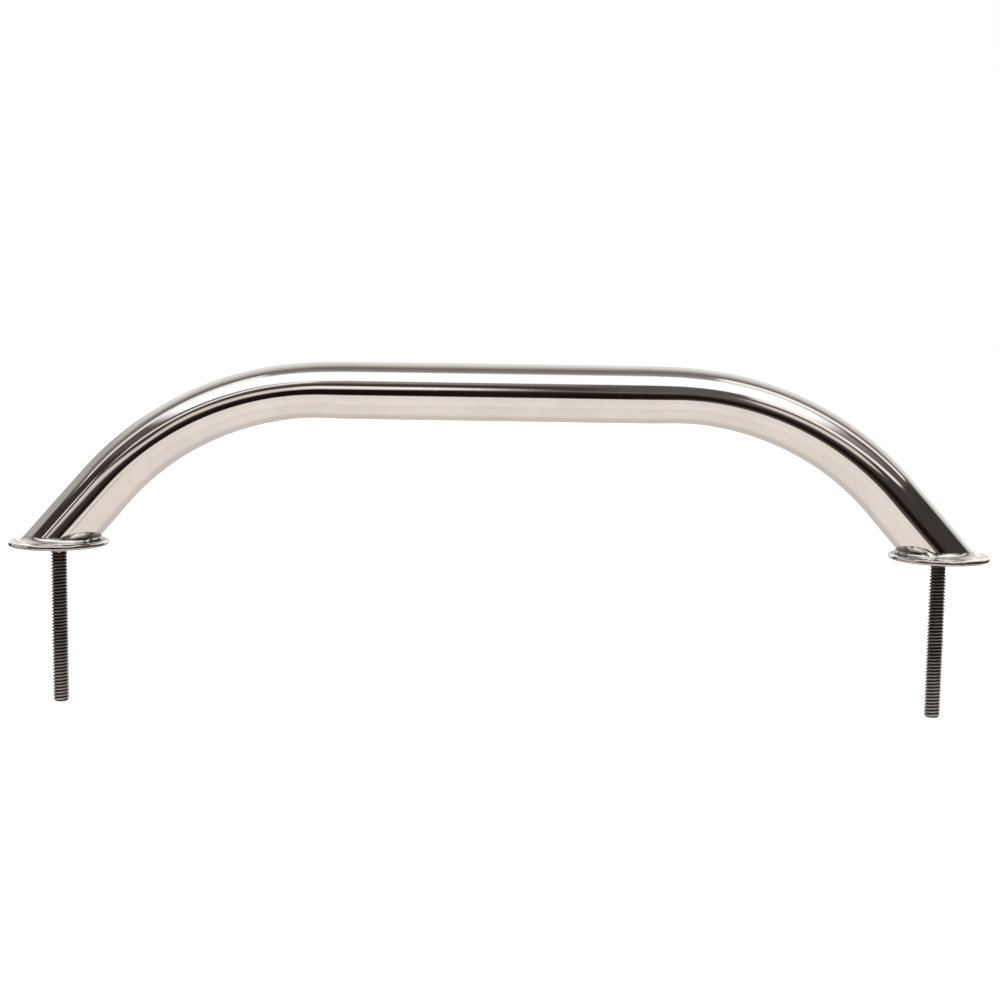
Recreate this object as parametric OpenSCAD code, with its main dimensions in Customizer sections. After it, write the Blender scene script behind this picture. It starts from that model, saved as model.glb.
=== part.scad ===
// Stud-mounted grab rail for a boat: one bent tube welded to two round bases,
// with a threaded stud through each base, welded to it above and below.
// Origin: midway between the two studs, on the mounting face. +X runs along
// the rail, +Z points from the deck to the rail. Millimetres.

/* [Rail tube] */
// Distance between the centres of the two studs
stud_spacing = 335; // [290:0.5:610]
// Height of the top of the rail above the deck
rail_height = 71.8; // [66:0.1:90]
// Outside diameter of the tube
tube_d = 22; // [19:0.5:25.5]
// Wall thickness of the tube
tube_wall = 1.2; // [1:0.1:2]
// Radius of the two bends, to the centre of the tube
bend_radius = 111.5; // [80:0.5:114]
// Angle between each leg and the deck
leg_angle = 48.5; // [45:0.5:50]

/* [Bases] */
// Diameter of each round base
base_d = 37.5; // [37:0.5:50]
// Thickness of each base
base_t = 2.2; // [2:0.1:4]
// Rounding of the upper edge of a base
base_top_round = 0.6; // [0.4:0.1:0.6]
// Rounding of the lower edge of a base
base_foot_round = 1.3; // [0.1:0.1:1.3]

/* [Studs] */
// Major diameter of the 1/4-20 UNC thread
stud_d = 6.35; // [6:0.05:8]
// Whole length of a stud
stud_length = 65; // [50:0.1:90]
// Length of a stud below the deck side of its base
stud_reach = 60.7; // [45:0.1:80]
// Chamfer at both ends of a stud
stud_chamfer = 0.8; // [0.4:0.1:1.2]
// Diameter of the relief where the weld under the base grips a stud
relief_d = 5.6; // [5:0.1:6]
// Diameter of the hole through each base
hole_d = 6.5; // [6.4:0.05:8.2]

/* [Welds] */
// Width of the weld bead round a foot of the tube, outside the tube
foot_weld_width = 1.8; // [1:0.1:2.2]
// Height of the weld bead round a foot of the tube
foot_weld_height = 2; // [1:0.1:3]
// Diameter of the weld under a base, at the base
under_weld_d = 9.4; // [8.6:0.1:11]
// Diameter of the weld under a base, at its lower end
under_weld_tip_d = 7.2; // [6.6:0.1:9]
// Depth of the weld under a base
under_weld_depth = 2.8; // [1:0.1:4]
// Diameter of the weld on the inside of a base
inner_weld_d = 9.6; // [8:0.1:12]
// Height of the weld on the inside of a base
inner_weld_height = 1.4; // [0.8:0.1:2]

/* [Hidden] */

$fn = 96;
hull_fn = 48;           // segments round a foot weld
round_steps = 6;        // steps in each rounded edge of a base
weld_lip = 0.25;        // width left at the top of a foot weld, where it fades into the tube
bend_draw = 0.02;       // how much each wall face is drawn in by bending
lap = 0.5;              // how far a straight length runs into a bend
overrun = 60;           // how far a cutting shape runs past what it cuts

tube_r = tube_d / 2;
base_r = base_d / 2;
stud_r = stud_d / 2;
relief_r = relief_d / 2;
hole_r = hole_d / 2;
under_weld_r = under_weld_d / 2;
inner_weld_r = inner_weld_d / 2;
axis_height = rail_height - tube_r;
stud_x = stud_spacing / 2;

// The hole in a base opens out below at 45 degrees, and weld metal fills the groove.
groove_depth = under_weld_r - hole_r;

// Each leg's axis meets the upper face of its base at the base's centre.
bend_drop = bend_radius * (1 - cos(leg_angle));
leg_length = (axis_height - base_t - bend_drop) / sin(leg_angle);
bend_start_x = stud_x - leg_length * cos(leg_angle) - bend_radius * sin(leg_angle);

// The foot of a leg is an ellipse, longer along X, because the leg is cut at a slant.
foot_x = tube_r / sin(leg_angle);
foot_lean = 1 / tan(leg_angle);

assert(leg_length > 0, "the bends reach below the bases: lower bend_radius or leg_angle");
assert(bend_start_x > 0, "the bends meet in the middle: raise stud_spacing");
assert(groove_depth < base_t, "the weld groove cuts through the base: lower under_weld_d");
assert(base_top_round + base_foot_round < base_t, "the two roundings meet: raise base_t");
assert(foot_x + foot_weld_width < base_r, "the foot weld overhangs the base: raise base_d");

// Points of a quarter circle about (x, y), from one angle to another.
function arc(x, y, r, from, to) =
    [for (i = [0 : round_steps]) let (a = from + (to - from) * i / round_steps)
        [x + r * cos(a), y + r * sin(a)]];

// One end of the rail: +1 is the right end, -1 the left.
module at_end(side) {
    if (side > 0) children();
    else mirror([1, 0, 0]) children();
}

// Wall of the tube in cross-section, with both faces drawn in by a small amount.
module tube_section(draw = 0) {
    difference() {
        circle(r = tube_r - draw);
        circle(r = tube_r - tube_wall + draw);
    }
}

// One bend, from level at the top of the rail to the slope of the leg.
module bend() {
    translate([bend_start_x, 0, axis_height - bend_radius])
        rotate([0, -90, -90])
            rotate_extrude(angle = leg_angle)
                translate([bend_radius, 0]) tube_section(bend_draw);
}

// One leg, cut off level on the upper face of its base.
module leg() {
    difference() {
        translate([bend_start_x, 0, axis_height - bend_radius])
            rotate([0, leg_angle, 0])
                translate([-lap, 0, bend_radius])
                    rotate([0, 90, 0])
                        linear_extrude(height = leg_length + overrun) tube_section();
        translate([stud_x - overrun, -overrun, base_t - 4 * overrun])
            cube([4 * overrun, 2 * overrun, 4 * overrun]);
    }
}

module rail_tube() {
    color([0.78, 0.76, 0.73]) {
        translate([-bend_start_x - lap, 0, axis_height])
            rotate([0, 90, 0])
                linear_extrude(height = 2 * (bend_start_x + lap)) tube_section();
        for (side = [-1, 1]) at_end(side) {
            bend();
            leg();
        }
    }
}

// Round base with softened edges and a hole for the stud, opened out below for weld.
module base() {
    color([0.8, 0.78, 0.76])
        translate([stud_x, 0, 0])
            rotate_extrude()
                polygon(concat(
                    [[hole_r, groove_depth], [under_weld_r, 0]],
                    arc(base_r - base_foot_round, base_foot_round, base_foot_round, -90, 0),
                    arc(base_r - base_top_round, base_t - base_top_round, base_top_round, 0, 90),
                    [[hole_r, base_t]]
                ));
}

// Level ellipse round the leg, a given distance above the base and outside the tube.
module foot_outline(above, outside) {
    translate([stud_x - above * foot_lean, 0, base_t + above])
        linear_extrude(height = 0.01)
            scale([foot_x + outside, tube_r + outside])
                circle(r = 1, $fn = hull_fn);
}

// Fillet of weld metal that joins a leg to its base.
module foot_weld() {
    color([0.72, 0.7, 0.68])
        difference() {
            hull() {
                foot_outline(0, foot_weld_width);
                foot_outline(foot_weld_height, weld_lip);
            }
            translate([stud_x, 0, base_t])
                rotate([0, leg_angle - 90, 0])
                    cylinder(r = tube_r, h = 2 * overrun, center = true);
        }
}

// Stud drawn at the major diameter of its thread, with a relief inside the weld under the base.
module stud() {
    color([0.42, 0.4, 0.38])
        translate([stud_x, 0, 0])
            rotate_extrude()
                polygon([
                    [0, -stud_reach],
                    [stud_r - stud_chamfer, -stud_reach],
                    [stud_r, stud_chamfer - stud_reach],
                    [stud_r, -under_weld_depth],
                    [relief_r, -under_weld_depth],
                    [relief_r, 0],
                    [stud_r, 0],
                    [stud_r, stud_length - stud_reach - stud_chamfer],
                    [stud_r - stud_chamfer, stud_length - stud_reach],
                    [0, stud_length - stud_reach]
                ]);
}

// Weld under the base: it fills the groove in the base and tapers down round the stud.
module under_weld() {
    color([0.66, 0.62, 0.58])
        translate([stud_x, 0, 0])
            rotate_extrude()
                polygon([
                    [relief_r, -under_weld_depth],
                    [under_weld_tip_d / 2, -under_weld_depth],
                    [under_weld_r, 0],
                    [hole_r, groove_depth],
                    [stud_r, groove_depth],
                    [stud_r, 0],
                    [relief_r, 0]
                ]);
}

// Weld on the inside of the base, round the head of the stud and hidden by the tube.
module inner_weld() {
    color([0.6, 0.55, 0.5])
        translate([stud_x, 0, base_t])
            rotate_extrude()
                polygon([
                    [stud_r, 0],
                    [inner_weld_r, 0],
                    [stud_r + 0.3, inner_weld_height],
                    [stud_r, inner_weld_height]
                ]);
}

rail_tube();
at_end(-1) base();  // left_base
at_end(1) base();  // right_base
at_end(-1) foot_weld();  // left_foot_weld
at_end(1) foot_weld();  // right_foot_weld
at_end(-1) stud();  // left_stud
at_end(1) stud();  // right_stud
at_end(-1) under_weld();  // left_under_weld
at_end(1) under_weld();  // right_under_weld
at_end(-1) inner_weld();  // left_inner_weld
at_end(1) inner_weld();  // right_inner_weld
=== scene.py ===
"""Stud-mounted grab rail: visual model, studio and camera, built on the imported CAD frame."""
import math

import bmesh
import bpy
import numpy as np
from mathutils import Matrix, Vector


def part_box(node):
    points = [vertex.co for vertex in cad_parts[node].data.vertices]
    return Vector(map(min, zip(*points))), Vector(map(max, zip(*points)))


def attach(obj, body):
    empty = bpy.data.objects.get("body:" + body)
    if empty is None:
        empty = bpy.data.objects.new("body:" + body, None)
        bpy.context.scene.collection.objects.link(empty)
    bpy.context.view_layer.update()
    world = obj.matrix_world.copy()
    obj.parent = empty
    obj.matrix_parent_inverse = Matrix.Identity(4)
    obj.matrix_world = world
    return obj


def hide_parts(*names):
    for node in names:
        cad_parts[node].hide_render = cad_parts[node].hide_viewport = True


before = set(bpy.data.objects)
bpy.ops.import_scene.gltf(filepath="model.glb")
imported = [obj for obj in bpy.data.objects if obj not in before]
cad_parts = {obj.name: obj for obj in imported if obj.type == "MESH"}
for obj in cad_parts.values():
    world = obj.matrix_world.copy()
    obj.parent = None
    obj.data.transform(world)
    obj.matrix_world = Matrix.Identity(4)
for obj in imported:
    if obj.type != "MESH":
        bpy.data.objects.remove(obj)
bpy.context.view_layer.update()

MM = 0.001
TAU = 2 * math.pi

# ---------------------------------------------------------------- sizes, metres
base_lo, base_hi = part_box("right_base")
tube_lo, tube_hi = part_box("rail_tube")
stud_lo, stud_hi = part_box("right_stud")

STUD_X = (base_lo[0] + base_hi[0]) / 2
BASE_R = (base_hi[0] - base_lo[0]) / 2
BASE_T = base_hi[2] - base_lo[2]
TUBE_R = (tube_hi[1] - tube_lo[1]) / 2
AXIS_Z = tube_hi[2] - TUBE_R
STUD_R = (stud_hi[0] - stud_lo[0]) / 2
STUD_TIP = stud_lo[2]

# Sizes that the boxes above don't give.
TUBE_WALL = 1.2 * MM
BEND_R = 111.5 * MM
LEG_ANGLE = math.radians(48.5)
PITCH = 25.4 / 20 * MM
STUD_CHAMFER = 0.8 * MM
WELD_W = 1.8 * MM
WELD_H = 2.0 * MM
UNDER_R = 4.7 * MM
UNDER_TIP_R = 3.3 * MM
RELIEF_R = 2.8 * MM
HOLE_R = 3.25 * MM

# Bending leaves the tube slightly oval: shares of its radius lost and gained.
BEND_OVAL = 0.035
BEND_SWELL = 0.012

# Height the bend loses, length of a leg, where a bend starts, half length of a foot.
DROP = BEND_R * (1 - math.cos(LEG_ANGLE))
LEG = (AXIS_Z - BASE_T - DROP) / math.sin(LEG_ANGLE)
BEND_X = STUD_X - LEG * math.cos(LEG_ANGLE) - BEND_R * math.sin(LEG_ANGLE)
FOOT_X = TUBE_R / math.sin(LEG_ANGLE)


# ---------------------------------------------------------------- mesh helpers
def smoothstep(x, a, b):
    t = np.clip((np.asarray(x, float) - a) / (b - a), 0, 1)
    return t * t * (3 - 2 * t)


def make_object(name, verts, faces, node, smooth_angle=40):
    """Smooth-shaded piece that rides on the part's one body and replaces a CAD node."""
    mesh = bpy.data.meshes.new(name)
    mesh.from_pydata([tuple(v) for v in verts], [], faces)
    mesh.validate(clean_customdata=False)
    mesh.update()
    mesh.shade_smooth()
    mesh.set_sharp_from_angle(angle=math.radians(smooth_angle))
    obj = bpy.data.objects.new(name, mesh)
    bpy.context.scene.collection.objects.link(obj)
    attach(obj, "root")
    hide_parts(node)
    return obj


def set_shade(obj, name, values):
    """Store one number per vertex, 0 to 1, for the material to read."""
    layer = obj.data.attributes.new(name, "FLOAT", "POINT")
    layer.data.foreach_set("value", np.asarray(values, np.float32))


def grid_faces(rows, cols, close_rows=False, close_cols=True):
    """Quads over a grid of rows x cols vertices, either way round closed or open."""
    faces = []
    for i in range(rows if close_rows else rows - 1):
        a, b = i * cols, ((i + 1) % rows) * cols
        for j in range(cols if close_cols else cols - 1):
            k = (j + 1) % cols
            faces.append((a + j, a + k, b + k, b + j))
    return faces


def lathe(name, profile, centre_x, node, turns=224, wobble=None, smooth_angle=40):
    """Closed ring turned round a vertical axis; profile is a closed loop of (radius, z)."""
    verts = []
    for r, z in profile:
        for j in range(turns):
            a = TAU * j / turns
            rr, zz = (r, z) if wobble is None else wobble(r, z, a)
            verts.append((centre_x + rr * math.cos(a), rr * math.sin(a), zz))
    faces = grid_faces(len(profile), turns, close_rows=True)
    faces = [f[::-1] for f in faces]
    return make_object(name, verts, faces, node, smooth_angle)


def arc(cx, cz, r, a0, a1, steps):
    """Points of an arc in a profile, degrees."""
    out = []
    for i in range(steps + 1):
        a = math.radians(a0 + (a1 - a0) * i / steps)
        out.append((cx + r * math.cos(a), cz + r * math.sin(a)))
    return out


# ---------------------------------------------------------------- rail tube
def half_path():
    """Centre line of the right half: points, turn from level, distance along, share of the oval."""
    straight = np.linspace(0, BEND_X, 40)
    bend = np.linspace(0, LEG_ANGLE, 120)[1:]
    leg = np.linspace(0, LEG, 30)[1:]
    x = np.concatenate([
        straight,
        BEND_X + BEND_R * np.sin(bend),
        BEND_X + BEND_R * math.sin(LEG_ANGLE) + leg * math.cos(LEG_ANGLE),
    ])
    z = np.concatenate([
        np.full(len(straight), AXIS_Z),
        AXIS_Z - BEND_R + BEND_R * np.cos(bend),
        AXIS_Z - DROP - leg * math.sin(LEG_ANGLE),
    ])
    turn = np.concatenate([0 * straight, bend, np.full(len(leg), LEG_ANGLE)])
    dist = np.concatenate([straight, BEND_X + BEND_R * bend, BEND_X + BEND_R * LEG_ANGLE + leg])
    # The oval comes in quickly from the straight and fades slowly into the leg.
    end = BEND_X + BEND_R * LEG_ANGLE
    ease = 12 * MM
    fade_from = end - 34 * MM
    fade_to = end + 18 * MM
    oval = smoothstep(dist, BEND_X - ease, BEND_X + ease)
    oval *= 1 - smoothstep(dist, fade_from, fade_to)
    return x, z, turn, dist, oval


def build_rail():
    """Hollow bent tube, open at both ends, with its legs cut off level on the bases."""
    around = 128
    x, z, turn, dist, oval = half_path()
    psi = np.arange(around) / around * TAU
    rows = []
    bend_end = BEND_X + BEND_R * LEG_ANGLE
    for radius in (TUBE_R, TUBE_R - TUBE_WALL):
        side_rows = []
        for i in range(len(x)):
            r_in = radius - TUBE_R * BEND_OVAL * oval[i]
            r_out = radius + TUBE_R * BEND_SWELL * oval[i]
            up = np.array([math.sin(turn[i]), 0, math.cos(turn[i])])
            along = np.array([math.cos(turn[i]), 0, -math.sin(turn[i])])
            ring = np.array([x[i], 0, z[i]]) + np.outer(np.sin(psi) * r_in, up)
            ring[:, 1] -= np.cos(psi) * r_out
            if dist[i] > bend_end:
                # Shear the leg's rings so that the last one lies flat on the base.
                share = (dist[i] - bend_end) / LEG
                lean = up[2] * np.sin(psi) * r_in * share
                ring += np.outer(lean / math.sin(LEG_ANGLE), along)
            side_rows.append(ring)
        left = [row * np.array([-1, 1, 1]) for row in side_rows[:0:-1]]
        rows.append(left + side_rows)
    outer, inner = rows
    grid = outer + inner[::-1]
    verts = np.concatenate(grid)
    faces = grid_faces(len(grid), around, close_rows=True)
    return make_object("rail", verts, faces, "rail_tube", 35)


# ---------------------------------------------------------------- bases
def build_base(side, name, node):
    """Round base: a slightly crowned top, a thin upright rim and a wide rounding underneath."""
    top = 0.55 * MM
    low = 1.0 * MM
    crown = 0.2 * MM
    flat_r = 12.5 * MM
    edge_r = BASE_R - 0.52 * MM
    rng = np.random.default_rng(5 + side)
    phase = rng.uniform(0, TAU, 3)

    def wobble(r, z, a):
        # Hand polishing leaves the rim slightly scalloped.
        near_rim = smoothstep(r, BASE_R - 2.0 * MM, BASE_R - 0.3 * MM)
        wave = math.sin(19 * a + phase[0]) + 0.7 * math.sin(31 * a + phase[1])
        wave += 0.8 * math.sin(7 * a + phase[2])
        dip = 0.03 * MM * (wave - 2.5) * near_rim * smoothstep(z, 0.4 * MM, 1.0 * MM)
        return r, z + float(dip)

    profile = [(HOLE_R, UNDER_R - HOLE_R), (UNDER_R, 0)]
    profile += arc(BASE_R - low, low, low, -90, 0, 18)
    profile += arc(BASE_R - top, BASE_T - top - crown, top, 0, 86, 14)
    for share in (0.95, 0.85, 0.7, 0.55, 0.4, 0.25, 0.1, 0):
        profile.append((flat_r + share * (edge_r - flat_r), BASE_T - crown * share ** 2))
    profile.append((HOLE_R, BASE_T))
    base = lathe(name, profile, side * STUD_X, node, wobble=wobble)
    x, y, height = np.array([v.co for v in base.data.vertices]).T
    x = side * x - STUD_X
    radius = np.hypot(x, y)
    # Painted shade: the lower rounding is painted darker and pinker, like the shadowed table it
    # mirrors.
    under = (1 - smoothstep(height, 0.8 * MM, 1.1 * MM)) * smoothstep(radius, 5 * MM, 7 * MM)
    set_shade(base, "under", under)
    # Painted shade on the base top beside the bead inside the arch, darkening what it mirrors there.
    from_toe = np.hypot(x / (FOOT_X + WELD_W), y / (TUBE_R + WELD_W))
    arch_shade = smoothstep(-x / radius, 0.45, 0.75) * (1 - smoothstep(from_toe, 1.04, 1.18))
    set_shade(base, "arch_shade", 0.85 * arch_shade * smoothstep(height, BASE_T - 0.4 * MM, BASE_T - 0.3 * MM))
    return base


# ---------------------------------------------------------------- foot welds
def build_foot_weld(side, name, node, stop_angle, stop_size, seed):
    """Weld round the slanted foot: a thin smooth fillet, and a rounder bead inside the arch."""
    around = 320
    rng = np.random.default_rng(seed)
    phase = rng.uniform(0, TAU, 2)
    lean = 1 / math.tan(LEG_ANGLE)
    theta = np.arange(around) / around * TAU  # 0 points to the end of the rail, pi to its middle
    inner_side = smoothstep(-np.cos(theta), 0.6, 0.98)
    shaded_side = smoothstep(-np.cos(theta), 0.38, 0.65)
    ripple = 0.6 * np.sin(9 * theta + phase[0])
    ripple += 0.4 * np.sin(17 * theta + phase[1])
    # A lump and a pit beside it, where the weld run stops.
    gap = np.angle(np.exp(1j * (theta - stop_angle)))
    lump = stop_size * np.exp(-((gap / 0.08) ** 2))
    pit = stop_size * np.exp(-(((gap - 0.15) / 0.05) ** 2))
    uneven = 0.05 * ripple * (0.3 + 0.7 * inner_side)
    height = WELD_H * (0.88 - 0.04 * inner_side + uneven + 0.12 * lump - 0.25 * pit)
    width = WELD_W * (0.84 + 0.10 * inner_side + uneven + 0.08 * lump - 0.15 * pit)
    bulge = 0.08 + 0.5 * inner_side + 0.4 * lump

    cx, cy = np.cos(theta), np.sin(theta)
    nx, ny = cx / FOOT_X, cy / TUBE_R
    size = np.hypot(nx, ny)
    nx, ny = nx / size, ny / size
    rows = []
    crevice_shade = []

    def ring(out, up, painted_shade):
        px = side * (STUD_X - up * lean + FOOT_X * cx + nx * out)
        py = TUBE_R * cy + ny * out
        rows.append(np.stack([px, py, BASE_T + up], 1))
        crevice_shade.append(painted_shade)

    for t in np.concatenate([[0, 0.03, 0.06], np.linspace(0.1, 1, 13)]):
        c, s = math.cos(t * math.pi / 2), math.sin(t * math.pi / 2)
        out = width * ((1 - bulge) * (1 - c) + bulge * s)
        up = height * ((1 - bulge) * (1 - s) + bulge * c)
        # The bead curls down into a crevice where it meets the tube. Painted shade darkens that
        # crevice, the toe inside the arch and the pit where the run stops.
        up = up * (1 - 0.35 * inner_side * math.exp(-t / 0.03))
        crevice = np.exp(-((t / (0.12 + 0.28 * shaded_side)) ** 2)) * (0.3 + 0.7 * shaded_side)
        toe = 0.8 * inner_side * math.exp(-(((1 - t) / 0.25) ** 2))
        ring(out, up, np.clip(crevice + toe + pit * (1 - t), 0, 1))
    ring(-0.5 * MM + 0 * width, 0 * height, 0 * theta)
    ring(-0.5 * MM + 0 * width, 0.6 * height, 0 * theta)
    faces = grid_faces(len(rows), around, close_rows=True)
    if side > 0:
        faces = [f[::-1] for f in faces]
    bead = make_object(name, np.concatenate(rows), faces, node, 60)
    # Per-vertex share of painted shade, read by the bead's material.
    set_shade(bead, "crevice_shade", np.concatenate(crevice_shade))
    return bead


# ---------------------------------------------------------------- threaded studs
def build_stud(side, name, node, worn):
    """Right-hand 60 degree thread as one helical sheet, closed by a flat tip and a flat head.

    The first turns below the base are worn down by the given amount.
    """
    around = 64
    worn_from = -7 * MM
    worn_to = -5 * MM
    top = stud_hi[2]
    depth = 0.61 * PITCH
    crest = STUD_R
    root = STUD_R - depth
    mid = (crest + root) / 2
    # One pitch of the profile: share of the pitch, radius.
    profile = [
        (0.00, crest - 0.03 * MM),
        (0.04, crest),
        (0.12, crest),
        (0.16, crest - 0.03 * MM),
        (0.34, mid),
        (0.50, root + 0.03 * MM),
        (0.55, root),
        (0.61, root),
        (0.66, root + 0.03 * MM),
        (0.82, mid),
    ]
    k = len(profile)
    turns = int(math.ceil((top - STUD_TIP) / PITCH)) + 3
    rows = turns * k
    j = np.arange(around)
    angle = TAU * j / around
    verts = np.zeros((rows, around, 3))
    for i in range(rows):
        turn, p = divmod(i, k)
        share, r = profile[p]
        z = STUD_TIP - 2 * PITCH + PITCH * (turn + share + angle / TAU)
        z = np.clip(z, STUD_TIP, top)
        rr = np.minimum(r, crest - STUD_CHAMFER + (z - STUD_TIP))
        rr = np.minimum(rr, crest - STUD_CHAMFER + (top - z))
        rr = np.minimum(rr, crest - worn * smoothstep(z, worn_from, worn_to))
        verts[i, :, 0] = side * STUD_X + rr * np.cos(angle)
        verts[i, :, 1] = rr * np.sin(angle)
        verts[i, :, 2] = z
    faces = []
    for i in range(rows - 1):
        for m in range(around):
            # The last column joins the first one turn farther up.
            if m < around - 1:
                quad = (i, m), (i, m + 1), (i + 1, m + 1), (i + 1, m)
            else:
                if i + 1 + k >= rows:
                    continue
                quad = (i, m), (i + k, 0), (i + 1 + k, 0), (i + 1, m)
            zs = [verts[a, b, 2] for a, b in quad]
            if max(zs) - min(zs) < 1e-7:
                continue
            faces.append(tuple(a * around + b for a, b in quad))
    obj = make_object(name, verts.reshape(-1, 3), faces, node, 25)
    mesh = obj.data
    bm = bmesh.new()
    bm.from_mesh(mesh)
    bmesh.ops.remove_doubles(bm, verts=bm.verts, dist=0.004 * MM)
    loose = [v for v in bm.verts if not v.link_faces]
    bmesh.ops.delete(bm, geom=loose, context="VERTS")
    edges = [e for e in bm.edges if e.is_boundary]
    bmesh.ops.holes_fill(bm, edges=edges, sides=0)
    bmesh.ops.recalc_face_normals(bm, faces=bm.faces)
    bm.to_mesh(mesh)
    bm.free()
    mesh.shade_smooth()
    mesh.set_sharp_from_angle(angle=math.radians(28))
    radius = [math.hypot(v.co.x - side * STUD_X, v.co.y) for v in mesh.vertices]
    # Share of crest; the material paints the roots dark as painted shade and the crests with the
    # rod's tints.
    set_shade(obj, "crest", smoothstep(radius, root + 0.3 * depth, crest - 0.05 * depth))
    return obj


def build_under_weld(side, name, node, depth, seed):
    """Collar of raw weld under a base, tapering down round the stud."""
    rng = np.random.default_rng(seed)
    phase = rng.uniform(0, TAU, 4)

    def wobble(r, z, a):
        lump = 0.06 * math.sin(5 * a + phase[0]) + 0.04 * math.sin(11 * a + phase[1])
        if z < -0.2 * MM:
            return r * (1 + lump * 0.5), z * (1 + lump)
        return r, z

    profile = [
        (RELIEF_R, 0),
        (RELIEF_R, -depth + 0.15 * MM),
        (UNDER_TIP_R - 0.3 * MM, -depth + 0.05 * MM),
        (UNDER_TIP_R, -depth + 0.35 * MM),
        (UNDER_TIP_R + 0.15 * MM, -0.6 * depth),
        (UNDER_TIP_R + 0.55 * MM, -0.25 * depth),
        (UNDER_R - 0.1 * MM, -0.12 * MM),
        (UNDER_R, 0),
        (HOLE_R, UNDER_R - HOLE_R),
        (RELIEF_R, UNDER_R - HOLE_R),
    ]
    return lathe(name, profile, side * STUD_X, node, 96, wobble)


# ---------------------------------------------------------------- materials
def srgb(r, g, b):
    """Colour from 0-255 sRGB to linear."""
    out = []
    for v in (r, g, b):
        v /= 255
        out.append(v / 12.92 if v <= 0.04045 else ((v + 0.055) / 1.055) ** 2.4)
    return out + [1.0]


class Nodes:
    """Short helpers round a node tree."""

    def __init__(self, tree):
        self.tree = tree
        tree.nodes.clear()

    def add(self, kind, **inputs):
        node = self.tree.nodes.new("ShaderNode" + kind)
        for key, value in inputs.items():
            self.put(node, key, value)
        return node

    def put(self, node, key, value):
        """Set or link an input, by its name or, as i0, i1 and so on, by its number."""
        key = int(key[1:]) if key[0] == "i" and key[1:].isdigit() else key.replace("_", " ")
        socket = node.inputs[key]
        if isinstance(value, bpy.types.NodeSocket):
            self.tree.links.new(value, socket)
        else:
            socket.default_value = value

    def math(self, op, a, b=None, clamp=False):
        node = self.tree.nodes.new("ShaderNodeMath")
        node.operation = op
        node.use_clamp = clamp
        self.put(node, "i0", a)
        if b is not None:
            self.put(node, "i1", b)
        return node.outputs[0]

    def ramp01(self, value, low, high):
        """0 below low, 1 above high, with a soft step between them."""
        node = self.tree.nodes.new("ShaderNodeMapRange")
        node.interpolation_type = "SMOOTHSTEP"
        node.clamp = True
        self.put(node, "i0", value)
        self.put(node, "i1", low)
        self.put(node, "i2", high)
        return node.outputs[0]

    def mix(self, share, a, b):
        node = self.tree.nodes.new("ShaderNodeMix")
        node.data_type = "RGBA"
        self.put(node, "i0", share)
        self.put(node, "i6", a)
        self.put(node, "i7", b)
        return node.outputs[2]

    def shade(self, name):
        """A per-vertex shade made by set_shade."""
        node = self.add("Attribute")
        node.attribute_name = name
        return node.outputs["Fac"]

    def noise(self, vector, scale, detail=3.0, rough=0.5):
        node = self.add("TexNoise", Vector=vector, Scale=scale, Detail=detail, Roughness=rough)
        return node.outputs[0]


def new_material(name):
    """Empty material, and the helper for its nodes."""
    mat = bpy.data.materials.new(name)
    mat.use_nodes = True
    return mat, Nodes(mat.node_tree)


def finish_metal(n, tone, gloss, height, strength, distance):
    """Join colour, roughness and bumps in one metal shader."""
    bumped = n.add("Bump", Height=height, Strength=strength, Distance=distance)
    shader = n.add("BsdfPrincipled", Base_Color=tone, Metallic=1.0, Roughness=gloss)
    n.put(shader, "Normal", bumped.outputs[0])
    out = n.add("OutputMaterial")
    n.tree.links.new(shader.outputs[0], out.inputs[0])


SPECK = (0.10, 0.075, 0.07, 1)


def steel(name, color, rough, spread, bump, streak=(1, 1, 1), painted_shades=()):
    """Polished stainless: soft smudges in the gloss, fine polishing lines and a very slight ripple.

    Each painted shade pairs a per-vertex share, marking where the steel is painted darker as painted
    shade, with its colour; dark specks are mixed in and the gloss is a little rougher there.
    """
    mat, n = new_material(name)
    coord = n.add("TexCoord").outputs["Object"]
    lines = n.add("Mapping", Vector=coord)
    lines.inputs["Scale"].default_value = streak
    smudge = n.noise(coord, 55.0, 4.0, 0.6)
    fine = n.noise(lines.outputs[0], 900.0, 3.0, 0.6)
    ripple = n.noise(coord, 130.0, 2.0, 0.4)
    level = n.math("ADD", n.math("MULTIPLY", smudge, 0.7), n.math("MULTIPLY", fine, 0.3))
    gloss = n.add("MapRange", i0=level, i1=0.3, i2=0.7, i3=rough, i4=rough + spread).outputs[0]
    dark = [c * 0.93 for c in color[:3]] + [1]
    tone = n.mix(n.ramp01(smudge, 0.35, 0.7), dark, color)
    for shade, shade_color in painted_shades:
        speck = n.ramp01(n.noise(coord, 420.0, 3.0, 0.6), 0.56, 0.68)
        shaded_tone = n.mix(n.math("MULTIPLY", speck, 0.6), shade_color, SPECK)
        tone = n.mix(n.shade(shade), tone, shaded_tone)
        gloss = n.math("ADD", gloss, n.math("MULTIPLY", n.shade(shade), 0.2))
    height = n.math("ADD", n.math("MULTIPLY", ripple, 1.0), n.math("MULTIPLY", fine, 0.12))
    finish_metal(n, tone, gloss, height, bump, 0.2 * MM)
    return mat


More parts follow.
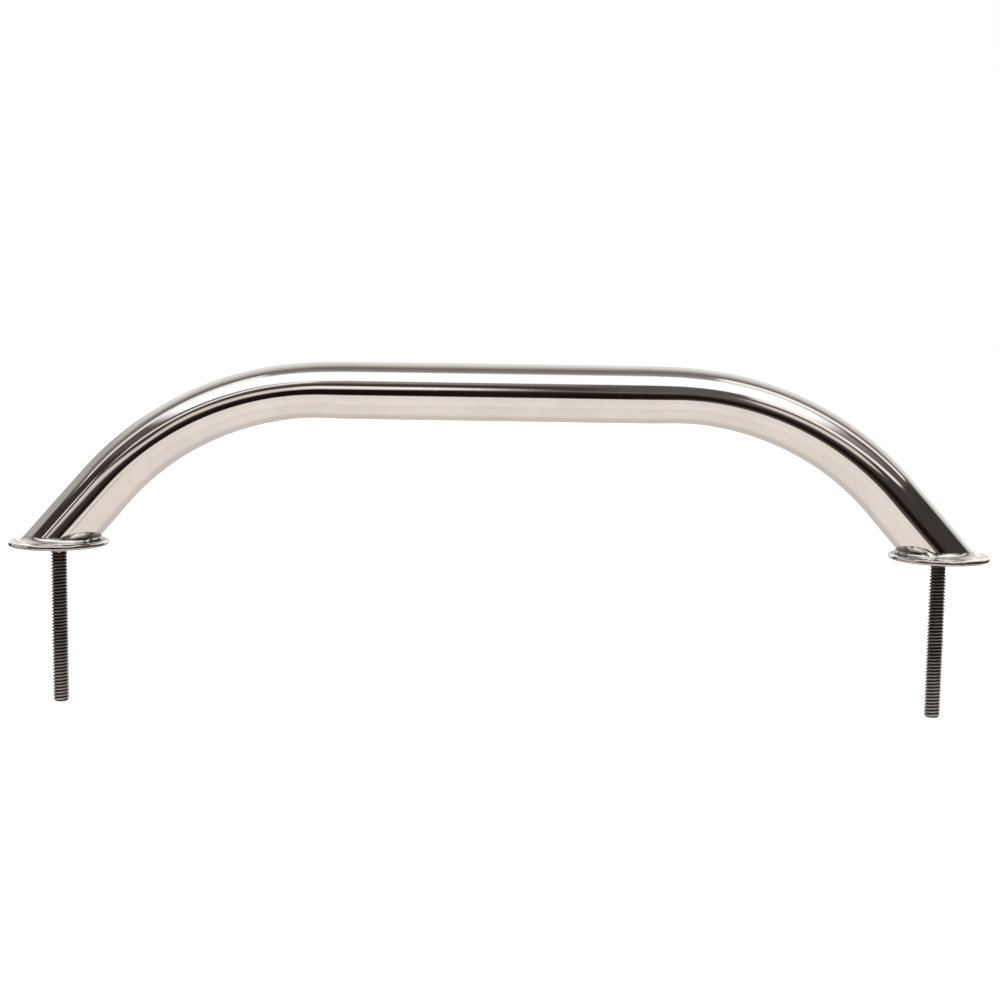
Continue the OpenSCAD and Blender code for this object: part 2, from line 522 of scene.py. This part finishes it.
def stud_material():
    """Dull threaded rod: dark rolled steel, brown and green tints; roots painted dark as painted
    shade, and a painted highlight lightening crests and roots towards the tip.
    """
    mat, n = new_material("stud_steel")
    coord = n.add("TexCoord").outputs["Object"]
    height = n.add("SeparateXYZ", Vector=coord).outputs[2]
    blotch = n.noise(coord, 160.0, 4.0, 0.6)
    tint = n.noise(coord, 60.0, 2.0, 0.5)
    grain = n.noise(coord, 2200.0, 3.0, 0.6)
    old = n.mix(n.ramp01(tint, 0.4, 0.65), (0.34, 0.29, 0.26, 1), (0.28, 0.275, 0.245, 1))
    old = n.mix(n.ramp01(blotch, 0.45, 0.75), old, (0.56, 0.52, 0.49, 1))
    # Painted highlight: crests and roots are painted lighter towards the tip.
    tip_glint = n.math("MULTIPLY", n.ramp01(height, -0.03, -0.06), 0.75)
    worn = n.mix(tip_glint, old, (0.84, 0.80, 0.77, 1))
    # Painted shade: the thread roots are painted nearly black.
    root_shade = n.mix(tip_glint, (0.055, 0.047, 0.042, 1), (0.17, 0.16, 0.15, 1))
    tone = n.mix(n.shade("crest"), root_shade, worn)
    gloss = n.add("MapRange", i0=blotch, i1=0.3, i2=0.7, i3=0.28, i4=0.42).outputs[0]
    finish_metal(n, tone, gloss, grain, 0.15, 0.1 * MM)
    return mat


def weld_material():
    """Raw weld: satin metal with straw and brown heat tint."""
    mat, n = new_material("raw_weld")
    coord = n.add("TexCoord").outputs["Object"]
    heat = n.noise(coord, 300.0, 4.0, 0.6)
    grain = n.noise(coord, 1500.0, 3.0, 0.6)
    tone = n.mix(n.ramp01(heat, 0.35, 0.7), (0.42, 0.38, 0.34, 1), (0.72, 0.68, 0.64, 1))
    gloss = n.add("MapRange", i0=grain, i1=0.3, i2=0.7, i3=0.28, i4=0.45).outputs[0]
    finish_metal(n, tone, gloss, heat, 0.3, 0.3 * MM)
    return mat


def paint(obj, mat):
    """Give the whole object one material."""
    obj.data.materials.clear()
    obj.data.materials.append(mat)


TUBE_STEEL = steel(
    "polished_tube", (0.90, 0.89, 0.88, 1), rough=0.045, spread=0.035, bump=0.05,
    streak=(0.05, 1, 1),
)
# Base: the lower rim and the top inside the arch get painted shade.
BASE_STEEL = steel(
    "polished_base", (0.88, 0.86, 0.85, 1), rough=0.06, spread=0.05, bump=0.14,
    painted_shades=[("under", (0.60, 0.56, 0.59, 1)), ("arch_shade", (0.14, 0.11, 0.10, 1))],
)
# Bead: its crevice, toe and stop pit get painted shade.
BEAD_STEEL = steel(
    "polished_weld", (0.86, 0.84, 0.81, 1), rough=0.09, spread=0.08, bump=0.30,
    painted_shades=[("crevice_shade", (0.06, 0.045, 0.035, 1))],
)
STUD_STEEL = stud_material()
RAW_WELD = weld_material()

# ---------------------------------------------------------------- build
# Each end: side, name, angle (degrees) and size of the stop mark in the foot weld,
# wear of the stud's first turns, depth of the weld under the base.
ENDS = [
    (-1, "left", -150, 0.25, 0.05 * MM, 2.6 * MM),
    (1, "right", -110, 1.0, 0.35 * MM, 1.9 * MM),
]

paint(build_rail(), TUBE_STEEL)
for side, end, stop, stop_size, worn, depth in ENDS:
    base = build_base(side, end + "_round_base", end + "_base")
    stop = math.radians(stop)
    bead = build_foot_weld(side, end + "_bead", end + "_foot_weld", stop, stop_size, 7 + side)
    stud = build_stud(side, end + "_threaded_stud", end + "_stud", worn)
    collar = build_under_weld(side, end + "_root_weld", end + "_under_weld", depth, 21 + side)
    paint(base, BASE_STEEL)
    paint(bead, BEAD_STEEL)
    paint(stud, STUD_STEEL)
    paint(collar, RAW_WELD)
    paint(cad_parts[end + "_inner_weld"], RAW_WELD)


# ---------------------------------------------------------------- camera
def build_camera():
    """Slightly from above, turned a little to the left, in a picture 1000 pixels wide."""
    place = (0.0129, -0.6219, 0.0905)
    focal_px = 1650.0
    pan, tilt, roll = math.radians(-1.09), math.radians(6.47), math.radians(0.82)
    look = np.array([math.sin(pan) * math.cos(tilt), math.cos(pan) * math.cos(tilt), -math.sin(tilt)])
    right = np.array([math.cos(pan), -math.sin(pan), 0.0])
    up = np.cross(right, look)
    right2 = right * math.cos(roll) + up * math.sin(roll)
    up2 = -right * math.sin(roll) + up * math.cos(roll)
    data = bpy.data.cameras.new("camera")
    data.sensor_width = 36.0
    data.lens = 36.0 * focal_px / 1000
    data.clip_start = 0.01
    data.clip_end = 100
    cam = bpy.data.objects.new("camera", data)
    rot = Matrix([list(row) for row in np.stack([right2, up2, -look], 1)]).to_4x4()
    cam.matrix_world = Matrix.Translation(place) @ rot
    bpy.context.scene.collection.objects.link(cam)
    bpy.context.scene.camera = cam


build_camera()


# ---------------------------------------------------------------- floor
def build_floor():
    """Plain pale floor just under the studs; the steel mirrors the studio instead."""
    size = 6.0
    z = STUD_TIP - 0.05 * MM
    mesh = bpy.data.meshes.new("floor")
    corners = [(-size, -size, z), (size, -size, z), (size, size, z), (-size, size, z)]
    mesh.from_pydata(corners, [], [(0, 1, 2, 3)])
    floor = bpy.data.objects.new("floor", mesh)
    bpy.context.scene.collection.objects.link(floor)
    mat, n = new_material("floor")
    shader = n.add("BsdfPrincipled", Base_Color=(0.9, 0.9, 0.9, 1), Roughness=0.9)
    n.put(shader, "Emission Color", (1, 1, 1, 1))
    n.put(shader, "Emission Strength", 0.8)
    out = n.add("OutputMaterial")
    n.tree.links.new(shader.outputs[0], out.inputs[0])
    mesh.materials.append(mat)
    floor.visible_glossy = False
    floor.visible_diffuse = False


build_floor()


# ---------------------------------------------------------------- studio
# The room the polished steel mirrors, as soft-edged patches on two flat screens.
# Ceiling screen, one unit overhead: u to the right, v to the back.
# Front screen, one unit in front of the rail: u to the right, v up.
# Each patch: screen, colour as mirrored (0-255), left, right, low, high, softness across,
# softness up, slope of the long edges, lean of the ends, strength.
DARK = (56, 50, 47)
TABLE = (224, 215, 206)
TABLE_FAR = (199, 192, 185)
BACKDROP = (218, 215, 213)
STUDIO = [
    # far side of the room: grey near the ceiling, then nearly white
    ("ceiling", (168, 164, 160), -9.0, 0.1, 0.30, 99, 0.3, 0.16, 0.2, 0, 1.0),
    ("ceiling", (168, 164, 160), 0.1, 9.0, 0.34, 99, 0.3, 0.12, 0, 0, 1.0),
    ("ceiling", (220, 219, 217), -1.3, 9.0, 0.62, 99, 0.4, 0.32, 0.05, 0, 1.0),
    ("ceiling", (255, 255, 255), -1.3, 9.0, 2.1, 99, 0.4, 0.9, 0, 0, 1.0),
    ("ceiling", BACKDROP, -9.0, 9.0, 4.5, 999, 0.2, 0.8, 0, 0, 1.0),
    # bare ceiling between the lamps
    ("ceiling", (138, 131, 127), -1.9, 1.7, -0.3, 0.33, 0.2, 0.06, 0.08, 0, 1.0),
    ("ceiling", (112, 105, 101), -1.9, 1.7, 0.04, 0.26, 0.2, 0.10, 0.08, 0, 1.0),
    ("ceiling", (88, 80, 75), -1.9, 1.7, -1.9, -0.3, 0.2, 0.12, 0, -0.16, 1.0),
    ("ceiling", (190, 180, 172), 0.8, 1.3, -1.0, -0.5, 0.3, 0.3, 0, 0, 0.5),
    # overhead diffuser
    ("ceiling", (255, 255, 255), -1.0, 0.9, -1.26, -0.19, 0.16, 0.08, 0, 0, 1.0),
    # strip lamps beside it
    ("ceiling", (250, 242, 235), 0.26, 1.67, -0.14, 0.11, 0.03, 0.07, 0, 0, 1.0),
    ("ceiling", (74, 67, 62), 0.7, 1.67, -0.32, -0.2, 0.3, 0.06, 0, 0, 0.9),
    ("ceiling", (248, 240, 236), -2.02, -0.36, -0.09, 0.13, 0.03, 0.07, 0.31, 0, 1.0),
    # dark rails under the front bars
    ("front", (146, 137, 128), -0.3, 0.06, 0.52, 0.76, 0.06, 0.05, 0, 0, 1.0),
    ("front", (84, 72, 64), 0.2, 1.2, 0.44, 0.56, 0.06, 0.03, 0, 0, 1.0),
    ("front", (82, 69, 57), -0.8, 0.04, 0.50, 0.60, 0.08, 0.05, 0.3, 0, 1.0),
    # bars along the front of the tent
    ("ceiling", (242, 234, 228), 0.28, 1.67, -1.78, -1.2, 0.05, 0.10, 0, -0.16, 1.0),
    ("front", (242, 234, 228), -0.8, -0.16, 0.70, 0.86, 0.03, 0.05, 0.45, 0, 1.0),
    # pale cards either side of the camera
    ("front", (212, 203, 194), 0.2, 0.62, 0.17, 0.38, 0.06, 0.06, 0.05, 0, 1.0),
    ("front", (216, 202, 190), -0.42, -0.03, 0.08, 0.28, 0.06, 0.05, 0, 0, 1.0),
    ("front", (255, 250, 242), -0.16, -0.02, 0.16, 0.30, 0.04, 0.05, 0, 0, 0.9),
    # nearly black in the middle, brown floor line to the right
    ("front", (24, 15, 13), -0.24, 0.02, -0.4, 0.17, 0.10, 0.04, 0.75, 0, 1.0),
    ("front", (26, 18, 15), -0.02, 0.9, -0.4, 0.02, 0.06, 0.06, 0, 0, 1.0),
    ("front", (108, 98, 90), 0.08, 0.9, -0.4, -0.22, 0.02, 0.04, 0, 0, 1.0),
    # narrow gaps of light at the far left
    ("front", (250, 244, 236), -1.11, -0.97, 0.28, 0.42, 0.02, 0.02, 0, 0, 1.0),
    ("front", (212, 203, 194), -0.79, -0.3, -0.115, 0.0, 0.03, 0.025, -0.35, 0, 1.0),
    # camera and photographer
    ("front", (86, 83, 81), 0.04, 0.23, 0.12, 0.74, 0.04, 0.05, 0, 0, 1.0),
    ("front", (142, 134, 116), -0.02, 0.07, 0.16, 0.20, 0.02, 0.03, -0.5, 0, 0.8),
    # dark wall to the right
    ("ceiling", (58, 54, 52), 1.68, 99, -99, 0.35, 0.03, 0.3, 0, -0.16, 1.0),
]
# Marks on the table, in the same form.
TABLE_MARKS = [
    ("front", (132, 124, 118), 0.105, 0.145, -0.55, -0.475, 0.014, 0.02, 0, 0, 0.8),
    ("front", (214, 205, 196), -0.5, 0.5, -2.6, -1.6, 0.2, 0.3, 0.3, 0, 0.35),
    ("front", (236, 229, 221), -0.4, 0.3, -1.5, -0.7, 0.2, 0.2, -0.4, 0, 0.35),
]


def build_world():
    """Plain white to the camera; to the steel, the studio built up patch by patch."""
    world = bpy.data.worlds.new("studio")
    bpy.context.scene.world = world
    world.use_nodes = True
    n = Nodes(world.node_tree)
    split = n.add("SeparateXYZ", Vector=n.add("TexCoord").outputs["Generated"])
    dx, dy, dz = split.outputs
    toward = n.math("MULTIPLY", dy, -1.0)
    up = n.math("MAXIMUM", dz, 0.02)
    ahead = n.math("MAXIMUM", toward, 0.02)
    screens = {
        "ceiling": (
            n.math("DIVIDE", dx, up),
            n.math("DIVIDE", dy, up),
            n.ramp01(dz, 0.02, 0.06),
        ),
        "front": (
            n.math("DIVIDE", dx, ahead),
            n.math("DIVIDE", dz, ahead),
            n.ramp01(toward, 0.02, 0.06),
        ),
    }

    def slab(value, low, high, soft):
        """1 between low and high, 0 outside them, with soft edges."""
        above = n.ramp01(value, low - soft, low + soft)
        beyond = n.ramp01(value, high - soft, high + soft)
        return n.math("SUBTRACT", above, beyond, clamp=True)

    def tone(rgb):
        """Mirrored colour to lamp colour; pure white is a little overexposed."""
        if min(rgb) == 255:
            return (1.2, 1.2, 1.2, 1)
        return tuple(c / 0.9 for c in srgb(*rgb)[:3]) + (1,)

    def patch(color, screen, rgb, u0, u1, v0, v1, su, sv, slope, lean, strength):
        """Lay one patch over the colours so far."""
        u, v, gate = screens[screen]
        across = n.math("SUBTRACT", u, n.math("MULTIPLY", v, lean)) if lean else u
        rise = n.math("SUBTRACT", v, n.math("MULTIPLY", u, slope)) if slope else v
        mask = n.math("MULTIPLY", slab(across, u0, u1, su), slab(rise, v0, v1, sv))
        mask = n.math("MULTIPLY", mask, gate)
        if strength != 1.0:
            mask = n.math("MULTIPLY", mask, strength)
        return n.mix(mask, color, tone(rgb))

    color = tone(DARK)
    for row in STUDIO:
        color = patch(color, *row)

    # Backdrop behind the rail: pale grey low down, overexposed higher up and to the sides.
    low = n.math("SUBTRACT", 1.0, n.ramp01(dz, 0.06, 0.16))
    color = n.mix(n.math("MULTIPLY", n.ramp01(dy, 0.72, 0.88), low), color, tone(BACKDROP))
    # Pale card standing at the left end, seen only in the rims.
    card = n.math("MULTIPLY", n.ramp01(dx, -0.8, -0.92), n.ramp01(n.math("ABSOLUTE", dz), 0.22, 0.14))
    color = n.mix(n.math("MULTIPLY", card, 0.8), color, tone((206, 202, 198)))
    aside = n.math("ABSOLUTE", dx)
    flare = n.ramp01(n.math("ADD", dy, n.math("MULTIPLY", aside, 0.25)), 0.90, 0.94)
    high = n.math("MAXIMUM", n.ramp01(dz, 0.2, 0.3), n.ramp01(aside, 0.3, 0.4))
    high = n.math("MULTIPLY", high, n.ramp01(dz, 0.0, 0.05))
    color = n.mix(n.math("MULTIPLY", flare, high), color, tone((255, 255, 255)))
    # Table: warm and even, greyer beyond the rail.
    table = n.mix(n.ramp01(dy, 0.1, 0.6), tone(TABLE), tone(TABLE_FAR))
    for row in TABLE_MARKS:
        table = patch(table, *row)
    color = n.mix(n.ramp01(dz, -0.33, -0.29), table, color)

    lit = n.add("Background", Color=color, Strength=1.0)
    plain = n.add("Background", Color=(1, 1, 1, 1), Strength=1.0)
    both = n.add("MixShader", i0=n.add("LightPath").outputs["Is Camera Ray"])
    n.tree.links.new(lit.outputs[0], both.inputs[1])
    n.tree.links.new(plain.outputs[0], both.inputs[2])
    out = n.add("OutputWorld")
    n.tree.links.new(both.outputs[0], out.inputs[0])


build_world()
bpy.context.scene.view_settings.view_transform = "Standard"
